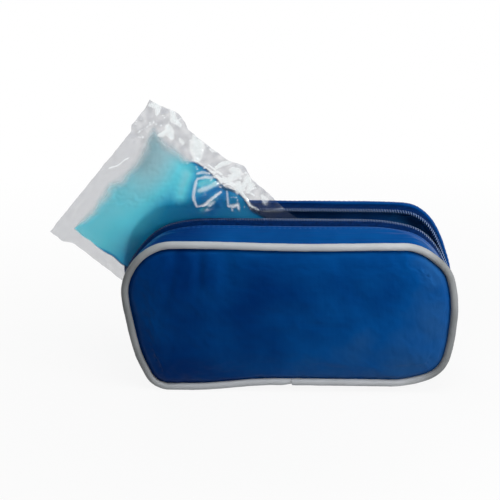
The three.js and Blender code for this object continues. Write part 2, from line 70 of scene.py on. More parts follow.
# Sizes of the case, from the frame's piping.
piping_low, piping_high = box_of("front_piping_upper")
case_width = piping_high[0] - piping_low[0]
case_height = piping_high[2]
piping_radius = (piping_high[1] - piping_low[1]) / 2
seam_y = -(piping_high[1] + piping_low[1]) / 2
fold_height = case_height / 2
seam_half_width = case_width / 2 - piping_radius
side_bulge = 2.5
seam_bulge = 0.4
seam_bottom = side_bulge
seam_top = case_height - piping_radius
top_corner = (0.15 * case_width, 0.35 * case_height)
bottom_corner = (0.18 * case_width, 0.394 * case_height)

# Layers of the padded wall, as depths below the outer face.
tape_depth = 1.1
tape_thick = 0.6
foam_end = 4.4
lining_depth = 4.6
lining_thick = 0.5

# The panels' crown: its rise inside the seam.
panel_crown = 6
panel_edge_y = seam_y + 1
panel_inset = 2.5
crown_run = 9.2

# The zip and its mouth.
mouth_half_gap = 6.5
mouth_end_half_gap = 1.2
opening_run = 44
right_opening_share = 0.4
tape_shown = 6.5
strip_edge_y = seam_y - piping_radius - 0.3
hidden_width = 1.4
hidden_depth = 1
coil_width = 1.6
lip_rows = (3.2, 1.8, 0)
row_shares = (0, 0.2, 0.44, 0.7, 1)
flat_shares = (seam_bulge / side_bulge, 0.76, 1, 1, 1, 1, 1, 1)
rises = {"front": 10.9, "back": 14.2}
rise_shares = {
    "front": (0.04, 0.24, 0.45, 0.61, 0.74, 0.91, 0.96, 1),
    "back": (0.03, 0.56, 0.87, 1, 1, 0.93, 0.89, 0.83),
}
sides = {"front": -1, "back": 1}
coil_thick = 1.8
coil_pitch = 1.6
chain_half_width = 2.6
chain_start = 6.4
chain_end = 11.5
band_start = 14.5
strip_end = 19

step = 1.6

# How the soft walls settle. Each push of the outline has a place and a width along the loop, in shares
# of its length, a distance outward, the range of y that it fully moves, and the fade beyond that.
far = 2 * seam_y
pushes = (
    (0.178, 0.03, 3, -far, -20, 30),
    (0.2565, 0.028, 1.6, -far, -24, 20),
    (0.305, 0.018, 1.2, -far, -26, 12),
    (0.487, 0.09, -1.3, -far, -24, 20),
    (0.64, 0.04, -0.4, -far, -24, 20),
    (0.843, 0.014, 2.2, -far, -24, 20),
    (0.861, 0.016, 1.5, -far, -24, 20),
    (0.785, 0.043, -4.9, -far, -20, 44),
    (0.315, 0.035, -5.1, -12, 12, 18),
    (0.685, 0.035, -6.5, -12, 12, 18),
    (0.355, 0.03, -2.4, -12, -6, 10),
    (0.655, 0.035, -3.5, -12, -6, 10),
)
edge_lift = 3.9
lift_from_x = -58
lift_run = 52
lift_below_z = 26
lift_height = 24


def smooth(value):
    t = np.clip(value, 0, 1)
    return t * t * (3 - 2 * t)


def mix(a, b, t):
    return a + (b - a) * t


def bell(value, width):
    return np.exp(-(value / width) ** 2)


def waves(points, size, seed):
    """Smooth noise from -1 to 1 at each point, with lumps of about that size."""
    shift = Vector((seed * 17.3, seed * 5.1, seed * 9.7))
    values = [noise.noise(Vector(p) / size + shift) for p in points.reshape(-1, 3)]
    return np.reshape(values, points.shape[:-1])


def lumps(points, *terms):
    """Sum of waves, each with its size, seed and height, and how its places are squeezed, if they are."""
    total = 0
    for size, seed, height, *squeeze in terms:
        total = total + waves(points * (squeeze[0] if squeeze else 1), size, seed) * height
    return total


def put(name, data, look=None):
    """A new object in the scene; a look, if given, covers all of it."""
    obj = bpy.data.objects.new(name, data)
    bpy.context.scene.collection.objects.link(obj)
    if look:
        data.materials.clear()
        data.materials.append(look)
    return obj


def solid(name, look, points, faces, sharp=50, weld=True):
    """A mesh object in metres from points in millimetres."""
    mesh = bpy.data.meshes.new(name)
    mesh.from_pydata((np.asarray(points, float) * MM).tolist(), [], faces)
    work = bmesh.new()
    work.from_mesh(mesh)
    if weld:
        bmesh.ops.remove_doubles(work, verts=work.verts, dist=weld_distance)
    bmesh.ops.recalc_face_normals(work, faces=work.faces)
    work.to_mesh(mesh)
    work.free()
    mesh.shade_smooth()
    mesh.set_sharp_from_angle(angle=math.radians(sharp))
    return put(name, mesh, looks[look])


def numbered(*shape):
    """The numbers of a grid's points, which run row by row."""
    return np.arange(math.prod(shape)).reshape(shape)


def quads(at):
    """The four corners of each cell of a grid of point numbers."""
    return np.stack([at[:-1, :-1], at[1:, :-1], at[1:, 1:], at[:-1, 1:]], axis=-1).reshape(-1, 4)


def round_quads(at):
    """The same for a grid whose last column meets its first."""
    return quads(np.hstack([at, at[:, :1]]))


def layer(name, look, outer, inner, faces=None, rim=None, weld=True):
    """A closed piece between two sheets of the same faces, with a wall round the rim."""
    if faces is None:
        at = numbered(*outer.shape[:2])
        faces = quads(at).tolist()
        rim = np.concatenate([at[:, 0], at[-1, 1:], at[-2::-1, -1], at[0, -2:0:-1]]).tolist()
    count = outer.size // 3
    back = [[v + count for v in face[::-1]] for face in faces]
    wall = [[a, a + count, b + count, b] for a, b in zip(rim, rim[1:] + rim[:1])]
    points = np.concatenate([outer.reshape(-1, 3), inner.reshape(-1, 3)])
    return solid(name, look, points, faces + back + wall, weld=weld)


def register(piece, slot, *nodes, flap=None, body="case", fill=None):
    """Says what a piece rides on and which CAD nodes it stands for; its finish and its padding are not used.

    A piece of a flap has its place baked into its mesh and rides on nothing.
    """
    if flap:
        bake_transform(piece)
    else:
        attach(piece, body)
    if nodes:
        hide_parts(*nodes)


def tube_mesh(path, frames, radii, sides_round):
    """Points and faces of a tube with closed ends; frames gives two directions at each point."""
    angles = np.arange(sides_round)[:, None] / sides_round * 2 * math.pi
    ring = np.cos(angles) * frames[0][:, None] + np.sin(angles) * frames[1][:, None]
    points = path[:, None] + ring * np.asarray(radii)[:, None, None]
    at = numbered(len(path), sides_round)
    return points.reshape(-1, 3), [*round_quads(at).tolist(), at[0].tolist(), at[-1][::-1].tolist()]


def joined(parts):
    """Several lists of points and faces as one."""
    points, faces, start = [], [], 0
    for some_points, some_faces in parts:
        points.append(some_points)
        faces.extend([v + start for v in face] for face in some_faces)
        start += len(some_points)
    return np.concatenate(points), faces


def unit(vectors):
    return vectors / np.linalg.norm(vectors, axis=-1, keepdims=True)


def run_of(path):
    """Distance along a line to each of its points."""
    return np.concatenate([[0], np.cumsum(np.linalg.norm(np.diff(path, axis=0), axis=1))])


def at_places(places, run, *tables):
    """Rows at places along a line, from tables with a row for each of its points."""
    return [np.stack([np.interp(places, run, column) for column in table.T], axis=1) for table in tables]


# The outline of the case: the closed seam line, from the bottom middle round the right side.
def corner_line(reach, start_z, up):
    """A quarter of an ellipse, from the side of the case to its top or its bottom."""
    angle = np.linspace(0, math.pi / 2, 120)
    x = seam_half_width - reach[0] + reach[0] * np.cos(angle)
    z = start_z + up * reach[1] * np.sin(angle)
    return np.stack([x, z], axis=1)


def seam_line(spacing):
    top = corner_line(top_corner, seam_top - top_corner[1], 1)
    bottom = corner_line(bottom_corner, seam_bottom + bottom_corner[1], -1)
    half = np.concatenate([[[0, seam_bottom]], bottom[::-1], top, [[0, seam_top]]])
    loop = np.concatenate([half, half[-2::-1] * (-1, 1)])
    run = run_of(loop)
    count = 4 * round(run[-1] / spacing / 4)
    places = np.arange(count) / count * run[-1]
    x, z = at_places(places, run, loop)[0].T
    tangent = unit(np.stack([np.roll(x, -1) - np.roll(x, 1), np.roll(z, -1) - np.roll(z, 1)], axis=1))
    right_fold = np.interp(fold_height, half[:, 1], run[:len(half)])
    above = np.minimum(places - right_fold, run[-1] - right_fold - places)
    lift = smooth((x - lift_from_x) / lift_run) * smooth((lift_below_z - z) / lift_height)
    opened = smooth(above / opening_run / (1 + right_opening_share * smooth(x / seam_half_width)))
    return {
        "x": x,
        "z": z,
        "nx": tangent[:, 1],
        "nz": -tangent[:, 0],
        "run": places,
        "share": places / run[-1],
        "above": above,
        "lift": edge_lift * lift,
        "opened": opened,
        "length": run[-1],
    }


def settled(line, y, x, z):
    """Points of a wall, moved as it settles, from their places on the plain outline."""
    shape = (-1, *[1] * (np.ndim(y) - 1))
    share, nx, nz, lift = (line[key].reshape(shape) for key in ("share", "nx", "nz", "lift"))
    out = 0 * y
    for place_share, width_share, outward, low, high, fade in pushes:
        reach = smooth((y - low) / fade + 1) * smooth((high - y) / fade + 1)
        out = out + outward * bell(share - place_share, width_share) * reach
    rise = lift * smooth((-y - 4) / 20)
    return np.stack([x + nx * out, y + 0 * x, z + nz * out + rise], axis=-1)


def settled_line(line, y):
    """The outline as it settles at one distance from the middle plane."""
    moved = settled(line, np.full_like(line["x"], y), line["x"], line["z"])
    along = unit(np.roll(moved, -1, axis=0) - np.roll(moved, 1, axis=0))
    return {**line, "x": moved[:, 0], "z": moved[:, 2], "nx": along[:, 2], "nz": -along[:, 0]}


seam = seam_line(step)
lines = {where: settled_line(seam, side * seam_y) for where, side in sides.items()}


def part_of(line, keep, start=0):
    """The stretch of a closed line where keep is true, in order, from the index start."""
    order = np.roll(np.arange(len(line["x"])), -start)
    order = order[keep[order]]
    return {key: value[order] if key != "length" else value for key, value in line.items()}


half_way = len(seam["x"]) // 2
arch = part_of(seam, seam["above"] > -strip_end)
cradle = part_of(seam, seam["above"] < -band_start, half_way)


def strip_rows(opened, where):
    """Control points of a strip's section: distance from the middle plane and outward offset."""
    lip = mix(mouth_end_half_gap, mouth_half_gap, opened)
    edge = lip + tape_shown
    ys = [mix(strip_edge_y, edge, share) for share in row_shares] + [lip + row for row in lip_rows]
    shares = zip(flat_shares, rise_shares[where])
    offs = [mix(flat * side_bulge, share * rises[where], opened) for flat, share in shares]
    ys.insert(0, ys[0] + hidden_width)
    offs.insert(0, offs[0] - hidden_depth)
    return np.stack([np.stack(ys, axis=1), np.stack(offs, axis=1)], axis=2)


def spline(controls, places):
    """Smooth curves through rows of control points, at places counted in controls."""
    last = controls.shape[1] - 1
    index = np.clip(np.floor(places).astype(int), 0, last - 1)
    t = (places - index)[None, :, None]
    p0, p1 = controls[:, np.maximum(index - 1, 0)], controls[:, index]
    p2, p3 = controls[:, index + 1], controls[:, np.minimum(index + 2, last)]
    return 0.5 * (
        2 * p1 + (p2 - p0) * t + (2 * p0 - 5 * p1 + 4 * p2 - p3) * t ** 2
        + (3 * p1 - p0 - 3 * p2 + p3) * t ** 3
    )


def section_points(line, section, depth, side):
    """Points at a depth below a section that runs along a line; depth may vary by row."""
    slope = np.gradient(section, axis=1)
    normal = unit(np.stack([slope[..., 1], -slope[..., 0]], axis=-1))
    sunk = section - normal * np.asarray(depth)[..., None]
    return outline_points(line, side * sunk[..., 0], sunk[..., 1])


def outline_points(line, y, off):
    """Points at distances y from the middle plane and off outward from the outline."""
    x = line["x"][:, None] + line["nx"][:, None] * off
    z = line["z"][:, None] + line["nz"][:, None] * off
    return settled(line, y, x, z)


# Looks.
class Nodes:
    """Makes and joins the nodes of one material or world."""

    def __init__(self, tree):
        self.tree = tree

    def add(self, kind, inputs=None, **settings):
        made = self.tree.nodes.new(f"ShaderNode{kind}")
        for key, value in settings.items():
            setattr(made, key, value)
        for socket, value in (inputs or {}).items():
            if isinstance(value, bpy.types.NodeSocket):
                self.tree.links.new(value, made.inputs[socket])
            else:
                made.inputs[socket].default_value = value
        return made

    def place(self):
        return self.add("TexCoord").outputs["Object"]

    def axis(self, name):
        return self.add("SeparateXYZ", {0: self.place()}).outputs[name]

    def stored(self, name):
        """A value that a piece stores for each of its points."""
        return self.add("Attribute", attribute_name=name).outputs["Fac"]

    def math(self, operation, *values):
        return self.add("Math", dict(enumerate(values)), operation=operation).outputs[0]

    def total(self, *values):
        return functools.reduce(functools.partial(self.math, "ADD"), values)

    def times(self, value, factor):
        return self.math("MULTIPLY", value, factor)

    def scaled(self, value, low, high, start, end):
        """Start where a value is low, end where it is high, and a straight rise between them."""
        inputs = {"Value": value, "From Min": low, "From Max": high, "To Min": start, "To Max": end}
        return self.add("MapRange", inputs).outputs["Result"]

    def noise(self, scale, detail=3, distortion=0):
        inputs = {"Vector": self.place(), "Scale": scale, "Detail": detail, "Distortion": distortion}
        return self.add("TexNoise", inputs).outputs["Fac"]

    def weave(self, scale):
        """Height of a plain weave: ridges across each of the three directions."""
        bands = []
        for direction in "XYZ":
            inputs = {"Vector": self.place(), "Scale": scale, "Distortion": 0.2, "Detail": 1}
            band = self.add("TexWave", inputs, wave_type="BANDS", bands_direction=direction)
            bands.append(band.outputs["Fac"])
        return self.total(*bands)

    def seen_rays(self):
        """1 for rays from the camera, and for those that glossy and clear surfaces send on."""
        rays = self.add("LightPath").outputs
        sent_on = self.math("MAXIMUM", rays["Is Glossy Ray"], rays["Is Transmission Ray"])
        return self.math("MAXIMUM", rays["Is Camera Ray"], sent_on)


class Look(Nodes):
    """A material whose surface is one shader."""

    def __init__(self, name, colour, roughness, specular, **sockets):
        self.material = bpy.data.materials.new(name)
        self.material.use_nodes = True
        super().__init__(self.material.node_tree)
        self.shader = self.tree.nodes["Principled BSDF"]
        self.normal = None
        plain = {"Base_Color": (*colour, 1), "Roughness": roughness, "Specular_IOR_Level": specular}
        for socket, value in (plain | sockets).items():
            self.shader.inputs[socket.replace("_", " ")].default_value = value

    def drive(self, socket, value):
        self.tree.links.new(value, self.shader.inputs[socket])

    def bump(self, height, distance, strength):
        """Adds a bump on top of the ones before it."""
        inputs = {"Height": height, "Distance": distance, "Strength": strength}
        if self.normal is not None:
            inputs["Normal"] = self.normal
        self.normal = self.add("Bump", inputs).outputs["Normal"]
        self.drive("Normal", self.normal)

    def tint(self, factor, *stops):
        """Colours the surface by a factor; each stop has a place from 0 to 1 and a colour."""
        made = self.add("ValToRGB", {"Fac": factor})
        elements = made.color_ramp.elements
        while len(elements) < len(stops):
            elements.new(0.5)
        for element, (position, colour) in zip(elements, stops):
            element.position = position
            element.color = (*colour, 1)
        self.drive("Base Color", made.outputs["Color"])


def coated_fabric():
    look = Look("coated_fabric", (0.0005, 0.045, 0.22), 0.42, 0.16, Specular_Tint=(0.02, 0.4, 1.0, 1))
    # Painted light: the fabric is painted paler toward the right, as if more light falls there.
    painted_light_right = look.scaled(look.axis("X"), -0.1, 0.1, -0.16, 0.22)
    # Painted shade: the back half of the case is painted darker.
    painted_shade_behind = look.scaled(look.axis("Y"), 0, 0.015, 0, -0.14)
    look.tint(
        look.total(look.noise(20), painted_light_right, painted_shade_behind),
        # The palest stop, with a little red, is a painted sheen.
        (0.28, (0.0, 0.019, 0.12)), (0.64, (0.001, 0.056, 0.23)), (0.86, (0.012, 0.07, 0.22)),
    )
    look.drive("Roughness", look.scaled(look.noise(60, 4), 0, 1, 0.32, 0.48))
    look.bump(look.noise(70), 0.0008, 0.25)
    look.bump(look.weave(420), 0.00008, 0.3)
    return look


def lining():
    look = Look("lining", (0.001, 0.04, 0.19), 0.5, 0.2)
    # Painted light: the lining is painted much brighter toward the right end of the mouth.
    look.tint(
        look.total(look.noise(60, 4), look.scaled(look.axis("X"), 0.05, 0.09, 0, 0.6)),
        (0.3, (0.0005, 0.03, 0.14)), (0.65, (0.003, 0.06, 0.24)), (1.0, (0.02, 0.2, 0.6)),
    )
    look.bump(look.weave(500), 0.00008, 0.4)
    return look


def piping():
    look = Look("piping", (0.44, 0.45, 0.46), 0.45, 0.15)
    # Painted shade: the piping is painted darker on its upright stretches at both sides of the case, as if
    # less light from above reaches them, and a little darker toward the right.
    ends = look.scaled(look.math("ABSOLUTE", look.axis("X")), 0.068, 0.09, 0, 0.75)
    right = look.scaled(look.axis("X"), 0.01, 0.09, 0, 0.12)
    patches = look.times(look.math("SUBTRACT", look.noise(45), 0.5), 0.75)
    look.tint(
        look.total(ends, right, patches),
        (0.0, (0.5, 0.52, 0.54)), (0.75, (0.25, 0.26, 0.265)), (1.0, (0.17, 0.18, 0.185)),
    )
    look.bump(look.noise(160, 2), 0.0002, 0.15)
    look.bump(look.weave(700), 0.00008, 0.5)
    return look


def zip_tape():
    look = Look("zip_tape", (0.0008, 0.012, 0.07), 0.75, 0.12, Specular_Tint=(0.05, 0.3, 1.0, 1))
    look.tint(look.noise(500), (0.3, (0.0003, 0.009, 0.05)), (0.7, (0.001, 0.02, 0.105)))
    look.bump(look.weave(800), 0.00012, 0.8)
    return look


def zip_teeth():
    look = Look("zip_teeth", (0.12, 0.2, 0.32), 0.3, 0.7)
    # Painted light and shade: the coil is painted dark at the left and paler toward the right, where its
    # highlight shows.
    painted_highlight_right = look.scaled(look.axis("X"), -0.07, 0.01, -0.6, 0.1)
    shade = look.total(look.noise(250, 2), painted_highlight_right)
    look.tint(shade, (0.0, (0.006, 0.02, 0.09)), (0.8, (0.15, 0.25, 0.45)))
    look.bump(look.noise(1500, 2), 0.00005, 0.3)
    return look


def zip_metal():
    look = Look("zip_metal", (0.02, 0.024, 0.04), 0.4, 0.5, Metallic=0.6)
    look.tint(look.noise(400, 4), (0.35, (0.012, 0.015, 0.028)), (0.75, (0.04, 0.045, 0.065)))
    look.drive("Roughness", look.scaled(look.noise(900), 0, 1, 0.28, 0.5))
    look.bump(look.noise(1800), 0.00003, 0.4)
    return look


def thread():
    look = Look("thread", (0.005, 0.07, 0.27), 0.6, 0.3)
    look.tint(look.noise(900, 2), (0.3, (0.002, 0.05, 0.22)), (0.7, (0.01, 0.09, 0.32)))
    look.bump(look.noise(3000, 2), 0.00005, 0.6)
    return look


film_solidity = 0.125
film_grey = (0.08, 0.11, 0.2)
# How much more solid the film is where its glints are painted.
crease_solidity = 0.8


def clear_film():
    look = Look("clear_film", film_grey, 0.2, 0.6, Specular_Tint=(0.7, 0.8, 1.0, 1))
    # Painted glints: where the pack stores them, the film is painted white, metallic and more solid.
    glint_paint = look.times(look.stored("crease"), look.scaled(look.noise(420), 0, 0.5, 0, 1))
    glint_level = look.scaled(glint_paint, 0, 0.12, 0, 0.95)
    look.tint(glint_level, (0.0, film_grey), (0.9, (0.9, 0.94, 0.95)))
    look.drive("Metallic", glint_level)
    hazy = look.times(look.stored("haze"), film_solidity)
    look.drive("Alpha", look.total(hazy, look.times(glint_paint, crease_solidity)))
    look.bump(look.noise(90, 4, 0.6), 0.001, 0.2)
    return look


def blue_gel():
    look = Look("blue_gel", (0.04, 0.5, 0.62), 0.35, 0.3, Transmission_Weight=0.5, IOR=1.34)
    stir = look.times(look.math("SUBTRACT", look.noise(34, 4), 0.5), 0.3)
    look.tint(
        look.total(look.stored("depth"), stir),
        (0.0, (0.42, 0.7, 0.76)), (0.35, (0.11, 0.73, 0.86)), (0.6, (0.006, 0.38, 0.66)),
        (0.85, (0.0, 0.18, 0.5)), (1.0, (0.004, 0.07, 0.17)),
    )
    look.drive("Alpha", look.stored("thin"))
    look.bump(look.noise(110, 4), 0.001, 0.2)
    return look


finishes = (coated_fabric, lining, piping, zip_tape, zip_teeth, zip_metal, clear_film, blue_gel, thread)
looks = {finish.__name__: finish().material for finish in finishes}


# Cloth simulation, at a size at which Blender's cloth is stable.
sim_scale = 0.02
sim_frames = 24
cloth = {
    "quality": 6,
    "mass": 0.02,
    "tension_stiffness": 12,
    "compression_stiffness": 12,
    "shear_stiffness": 8,
    "bending_stiffness": 0.3,
    "air_damping": 6,
    "vertex_group_mass": "pinned",
    "vertex_group_pressure": "pressed",
    "use_pressure": True,
}


def blown(points, faces, pinned, pressed, pressure, growth, most):
    """Where the points of a sheet lie after a cloth simulation, each moved by no more than most."""
    mesh = bpy.data.meshes.new("simulated")
    mesh.from_pydata((points * sim_scale).tolist(), [], faces)
    obj = put("simulated", mesh)
    for name, chosen in {"pinned": pinned, "pressed": pressed}.items():
        obj.vertex_groups.new(name=name).add(np.flatnonzero(chosen).tolist(), 1, "REPLACE")
    modifier = obj.modifiers.new("cloth", "CLOTH")
    for name, value in cloth.items():
        setattr(modifier.settings, name, value)
    modifier.settings.uniform_pressure_force = pressure
    modifier.settings.shrink_min = -growth
    modifier.settings.effector_weights.gravity = 0
    modifier.point_cache.frame_start = 1
    modifier.point_cache.frame_end = sim_frames
    for frame_number in range(1, sim_frames + 1):
        bpy.context.scene.frame_set(frame_number)
    solved = obj.evaluated_get(bpy.context.evaluated_depsgraph_get()).data
    places = np.empty(len(points) * 3, np.float32)
    solved.vertices.foreach_get("co", places)
    bpy.context.scene.frame_set(1)
    bpy.data.objects.remove(obj)
    bpy.data.meshes.remove(mesh)
    move = places.reshape(-1, 3) / sim_scale - points
    size = np.linalg.norm(move, axis=1, keepdims=True)
    return points + move * np.tanh(size / most) / np.maximum(size / most, 1e-6)


# Panels: rings near the seam, and inside them a grid between four corner points.
ring_insets = (0.9, 1.7, 2.5, 3.4, 4.5, 5.9, 7.6, 9.6)
low_corner_run = 90


def panel_sheet(line):
    count = len(line["x"])
    rings = [np.stack([line["x"] - line["nx"] * d, line["z"] - line["nz"] * d], axis=1) for d in ring_insets]
    low_right = round(low_corner_run / line["length"] * count)
    top_right = count // 2 - low_right
    edge = rings[-1]
    across, up = 2 * low_right, top_right - low_right
    bottom = np.roll(edge, low_right, axis=0)[:across + 1]
    right = edge[low_right:top_right + 1]
    top = edge[top_right:top_right + across + 1][::-1]
    left = edge[count - top_right:count - low_right + 1][::-1]
    u = np.linspace(0, 1, across + 1)[:, None, None]
    v = np.linspace(0, 1, up + 1)[None, :, None]
    middle = (
        (1 - v) * bottom[:, None] + v * top[:, None] + (1 - u) * left[None] + u * right[None]
        - (1 - u) * (1 - v) * bottom[0] - u * (1 - v) * bottom[-1]
        - (1 - u) * v * top[0] - u * v * top[-1]
    )
    points = np.concatenate(rings + [middle.reshape(-1, 2)])
    ring_at = numbered(len(rings), count)
    faces = np.concatenate([
        round_quads(ring_at)[:, [0, 3, 2, 1]], quads(numbered(across + 1, up + 1)) + ring_at.size,
    ])
    merged, back = np.unique(np.round(points, 4), axis=0, return_inverse=True)
    back = back.reshape(-1)
    seam_points = np.stack([line["x"], line["z"]], axis=1)
    gaps = np.linalg.norm(merged[:, None] - seam_points[None], axis=2)
    return {
        "points": merged,
        "faces": back[faces].tolist(),
        "rim": back[:count].tolist(),
        "edge": gaps.min(axis=1),
        "edge_run": line["run"][gaps.argmin(axis=1)],
    }


# Soft dents of the panels: place, width and length, slant, depth.
dents = {
    "front": (
        (-68, 78, 4, 24, 0.25, 1.6),
        (-52, 82, 3, 18, 0.1, 1.5),
        (-36, 84, 5, 26, 0.1, 2.1),
        (-4, 84, 8, 22, -0.15, 0.9),
        (38, 70, 6, 30, -0.5, 1.1),
        (72, 60, 12, 30, -0.3, 0.8),
        (60, 18, 22, 9, 0, 0.5),
        (-30, 14, 40, 8, 0, 0.4),
    ),
    "back": (
        (55, 78, 8, 26, -0.2, 0.8),
        (10, 82, 10, 24, 0.1, 0.6),
        (-50, 70, 9, 30, 0.4, 0.7),
        (-20, 16, 36, 8, 0, 0.4),
    ),
}

panel_pressure = 0.04
panel_growth = 0.002
panel_most = 2.5
panel_held = 2.4
rim_depth = 1.2
groove_depth = 1.5


def panel_height(where, sheet):
    """How far each point of a panel stands out from the middle plane."""
    x, z = sheet["points"].T
    edge = sheet["edge"]
    rise = panel_crown * (1 - np.exp(-(edge - panel_inset) / crown_run))
    flat = np.stack([x, 0 * x, z], axis=1)
    along = np.stack([sheet["edge_run"], 0 * x, edge * 0.25], axis=1)
    pucker = waves(along, 5.5, 3 + sides[where]) * bell(edge - 3.5, 5) * 0.3
    billow = waves(flat, 38, 5 + sides[where]) * smooth(edge / 22) * 0.5
    dent = 0 * x
    for dent_x, dent_z, width, length, slant, depth in dents[where]:
        off_x = x - dent_x - slant * (z - dent_z)
        dent += depth * bell(off_x, width) * bell(z - dent_z, length)
    groove = groove_depth * bell(edge - panel_inset, 1.2)
    return panel_edge_y + rise + pucker + billow - groove - dent * smooth(edge / 8)


def make_panels():
    for where, side in sides.items():
        sheet = panel_sheet(lines[where])
        faces = [face[::side] for face in sheet["faces"]]
        x, z = sheet["points"].T
        start = np.stack([x, side * panel_height(where, sheet), z], axis=1)
        pressed = np.ones(len(start), bool)
        held = sheet["edge"] < panel_held
        outer = blown(start, faces, held, pressed, panel_pressure, panel_growth, panel_most)

        def below(least, depth):
            """The panel's sheet sunk by a depth, and by less near the rim."""
            sunk = least + (depth - least) * smooth(sheet["edge"] / 9)
            return outer - sunk[:, None] * (0, side, 0)

        shell_inside = below(rim_depth, foam_end)
        shell = layer(f"{where}_shell", "coated_fabric", outer, shell_inside, faces, sheet["rim"])
        layers = ("fabric_lower", "fabric_upper", "foam_lower", "foam_upper")
        register(shell, "coated_fabric", *(f"{where}_{name}" for name in layers), flap=where, fill=0.5)
        inside = below(rim_depth + 0.2, lining_depth)
        under = inside - (0, side * lining_thick, 0)
        inner = layer(f"{where}_inner_lining", "lining", inside, under, faces, sheet["rim"])
        register(inner, "lining", f"{where}_lining_lower", f"{where}_lining_upper", flap=where)


# Piping: one tube whose two ends meet at the bottom, right of the middle, one tucked behind the other.
piping_joint_x = 3
piping_overlap = 7
piping_taper = 12
piping_end_share = 0.72
tuck_in = 0.5
tuck_aside = 0.9
ground_gap = 0.2
piping_sides = 18


def make_piping():
    start = int(np.argmax(seam["x"] > piping_joint_x))
    count = len(seam["x"]) + round(piping_overlap / step)
    order = (start + np.arange(count)) % len(seam["x"])
    full = smooth(np.arange(count)[::-1] * step / piping_taper)
    radii = piping_radius * mix(piping_end_share, 1, full)
    for where, side in sides.items():
        line = {key: lines[where][key][order] for key in ("x", "z", "nx", "nz")}
        out = np.stack([line["nx"], np.zeros(count), line["nz"]], axis=1)
        aside = np.tile([0.0, side, 0.0], (count, 1))
        path = np.stack([line["x"], np.full(count, side * seam_y), line["z"]], axis=1)
        path -= (tuck_in * out + tuck_aside * aside) * (1 - full)[:, None]
        path[:, 2] = np.maximum(path[:, 2], piping_radius + ground_gap)
        points, faces = tube_mesh(path, (out, aside), radii, piping_sides)
        centre = np.repeat(path, piping_sides, axis=0)
        ripple = lumps(points, (4.5, 11, 0.09), (1.9, 12, 0.04))
        points = centre + (points - centre) * (1 + ripple[:, None] / piping_radius)
        piece = solid(f"{where}_piping", "piping", points, faces)
        register(piece, "piping", f"{where}_piping_lower", f"{where}_piping_upper", flap=where)


# Upper strips on both sides of the zip, in coated fabric. Places on a strip are counted in rows of its
# control points, and its folded hem lies at hem_place.
hem_place = 5
hem_rise = 0.35
hem_stitches = (0.32, 0.62)


def strip_section(where, places):
    return spline(strip_rows(arch["opened"], where), places)


def strip_surface(where, places):
    """A strip's section and the points of its outer face, slightly crumpled and with a raised hem."""
    side = sides[where]
    section = strip_section(where, places)
    to_edge = np.abs(section[..., 0] - strip_section(where, np.array([hem_place]))[..., 0])
    base = section_points(arch, section, 0, side)
    crumple = lumps(
        base, (9, 21 + side, 0.4, (0.35, 1, 1)), (4, 23 + side, 0.12), (1.9, 25 + side, 0.26, (0.12, 1, 1)),
    )
    quiet = smooth(to_edge / 4) * smooth((places[None] - 0.6) / 1.5)
    hem = hem_rise * bell(to_edge - 1.4, 1.6) - 0.5 * bell(to_edge, 0.5)
    depth = -crumple * quiet - hem * mix(0.6, 1, arch["opened"][:, None])
    return section, to_edge, section_points(arch, section, depth, side)


def make_strips():
    places = np.linspace(0, hem_place, 36)
    for where, side in sides.items():
        section, to_edge, outer = strip_surface(where, places)
        from_seam, from_hem = smooth(places[None] / 1.2), smooth(to_edge / 4)
        depth = np.minimum(mix(0.8, foam_end, from_seam), mix(1.6, foam_end, from_hem))
        piece = layer(f"{where}_strip", "coated_fabric", outer, section_points(arch, section, depth, side))
        nodes = (f"{where}_strip_fabric", f"{where}_strip_foam")
        register(piece, "coated_fabric", *nodes, flap=where, fill=0.4)


# Stitches: short threads that dip into the fabric at both ends.
stitch_length = 2.3
stitch_gap = 0.7
stitch_radius = 0.15
stitch_taper = np.array([0.7, 1, 1.05, 1.05, 1, 0.7])
stitch_dip = np.array([[-0.22, -0.08, -0.05, -0.05, -0.08, -0.22]]).T


def stitch_row(path, normals):
    """Points and faces of a row of stitches along a line on a surface."""
    run = run_of(path)
    count = max(1, int(run[-1] // (stitch_length + stitch_gap)))
    pitch = run[-1] / count
    steps = np.linspace(0, stitch_length, len(stitch_taper))
    parts = []
    for number in range(count):
        places = number * pitch + (pitch - stitch_length) / 2 + steps
        spots, up = at_places(places, run, path, normals)
        up = unit(up)
        along = unit(np.gradient(spots, axis=0))
        aside = unit(np.cross(along, up))
        around = (aside, np.cross(aside, along))
        parts.append(tube_mesh(spots + stitch_dip * up, around, stitch_radius * stitch_taper, 7))
    return joined(parts)


def make_hem_stitches():
    """Two rows along the folded edge of each strip."""
    for where in sides:
        rows = []
        for below in hem_stitches:
            outer = strip_surface(where, hem_place - below + np.array([-0.05, 0, 0.05]))[2]
            up = unit(np.cross(np.gradient(outer[:, 1], axis=0), outer[:, 2] - outer[:, 0]))
            up *= np.sign((up * (outer[:, 1] - (0, 0, case_height / 3))).sum(axis=1, keepdims=True))
            rows.append(stitch_row(outer[:, 1], up))
        register(solid(f"{where}_hem_stitches", "thread", *joined(rows)), "coated_fabric", flap=where)


def thin_layer(name, look, line, section, side, depth, thick):
    """A thin piece at a depth below a section that runs along a line."""
    outer, inner = (section_points(line, section, depth + extra, side) for extra in (0, thick))
    return layer(name, look, outer, inner)


def make_strip_linings():
    places = np.linspace(1, 7, 32)
    for where, side in sides.items():
        section = strip_section(where, places)
        depth = mix(lining_depth, 2, smooth((places - 4.3) / 1.4)) + 0 * section[..., 0]
        plain = section_points(arch, section, depth, side)
        depth += waves(plain * (0.1, 1, 1), 2.4, 27 + side) * 0.4 * smooth(arch["opened"] * 3)[:, None]
        name = f"{where}_strip_inner_lining"
        piece = thin_layer(name, "lining", arch, section, side, depth, lining_thick)
        register(piece, "lining", f"{where}_strip_lining", flap=where)


